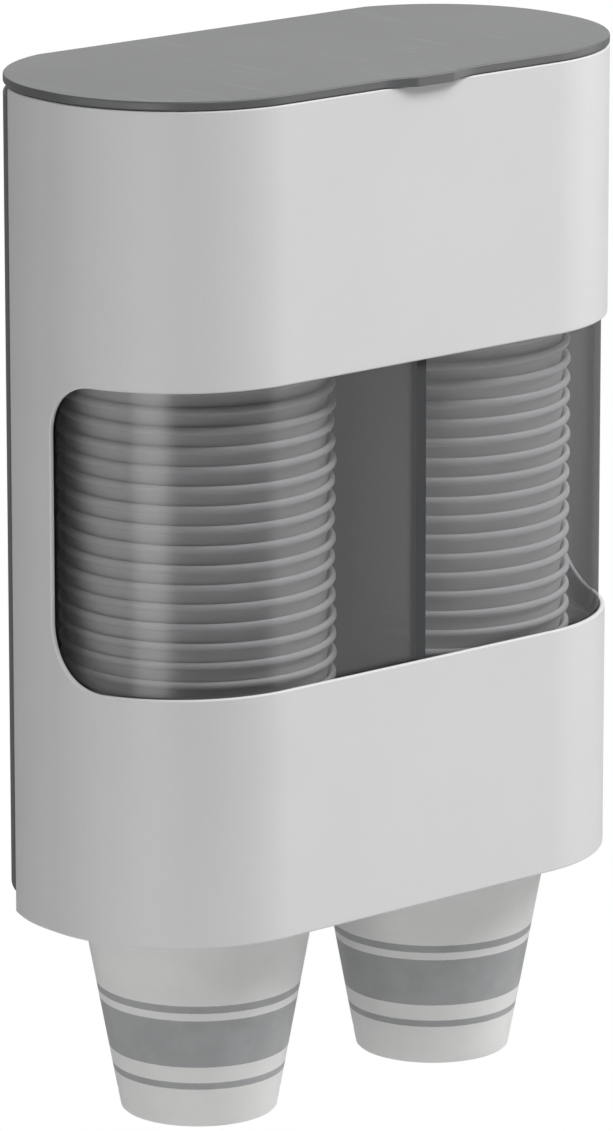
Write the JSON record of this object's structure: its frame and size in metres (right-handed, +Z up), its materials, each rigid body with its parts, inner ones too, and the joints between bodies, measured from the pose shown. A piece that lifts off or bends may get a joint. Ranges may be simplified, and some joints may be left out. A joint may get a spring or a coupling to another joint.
{
  "type": "cup dispenser",
  "caption": "Wall-hung twin dispenser for nested paper cups, with a hinged lid, a wrap-round smoked window and soft claw rings that let one cup out at a time.",
  "frame": {"origin": "on the flat wall face of the back cover, at the middle of the body's width and height", "axes": "+X to the right as seen from the front, +Y into the wall (the front faces -Y), +Z up"},
  "size_m": [0.18, 0.0923, 0.2806],
  "materials": {
    "light_plastic": "satin",
    "smoked_plastic": "gloss",
    "dark_plastic": "satin",
    "lid_plastic": "satin",
    "soft_rubber": "matte",
    "cup_paper": "matte",
    "steel": "satin"
  },
  "bodies": {
    "housing": {"front_shell": "light_plastic", "smoked_window": "smoked_plastic", "back_cover": "dark_plastic", "divider": "dark_plastic", "base_plate": "light_plastic", "clamp_plate": "dark_plastic", "left_claw_ring": "soft_rubber", "right_claw_ring": "soft_rubber", "left_hinge_pin": "steel", "right_hinge_pin": "steel", "clamp_screw_front": "steel", "clamp_screw_rear": "steel", "clamp_screw_left": "steel", "clamp_screw_right": "steel", "base_screw_front_left": "steel", "base_screw_front_right": "steel", "base_screw_rear_left": "steel", "base_screw_rear_right": "steel", "divider_screw_lower": "steel", "divider_screw_upper": "steel"},
    "lid": {"lid": "lid_plastic"},
    "left_lowest_cup": {"left_bottom_cup": "cup_paper"},
    "right_lowest_cup": {"right_bottom_cup": "cup_paper"},
    "left_stack": {"left_cup_stack": "cup_paper"},
    "right_stack": {"right_cup_stack": "cup_paper"}
  },
  "joints": [
    {"name": "lid_hinge", "type": "hinge", "parent": "housing", "child": "lid", "pos_m": [0, -0.0029, 0.11085], "axis": [-1, 0, 0], "range_deg": [0, 90]},
    {"name": "left_cup_pull", "type": "slide", "parent": "housing", "child": "left_lowest_cup", "axis": [0, 0, -1], "range_m": [0, 0.085], "deforming": ["left_claw_ring"]},
    {"name": "right_cup_pull", "type": "slide", "parent": "housing", "child": "right_lowest_cup", "axis": [0, 0, -1], "range_m": [0, 0.085], "deforming": ["right_claw_ring"]},
    {"name": "left_stack_drop", "type": "slide", "parent": "housing", "child": "left_stack", "axis": [0, 0, -1], "range_m": [0, 0.00522]},
    {"name": "right_stack_drop", "type": "slide", "parent": "housing", "child": "right_stack", "axis": [0, 0, -1], "range_m": [0, 0.00522]}
  ],
  "couplings": [
    {"joint": "left_stack_drop", "follows": "left_cup_pull", "ratio": 0.0614},
    {"joint": "right_stack_drop", "follows": "right_cup_pull", "ratio": 0.0614}
  ]
}
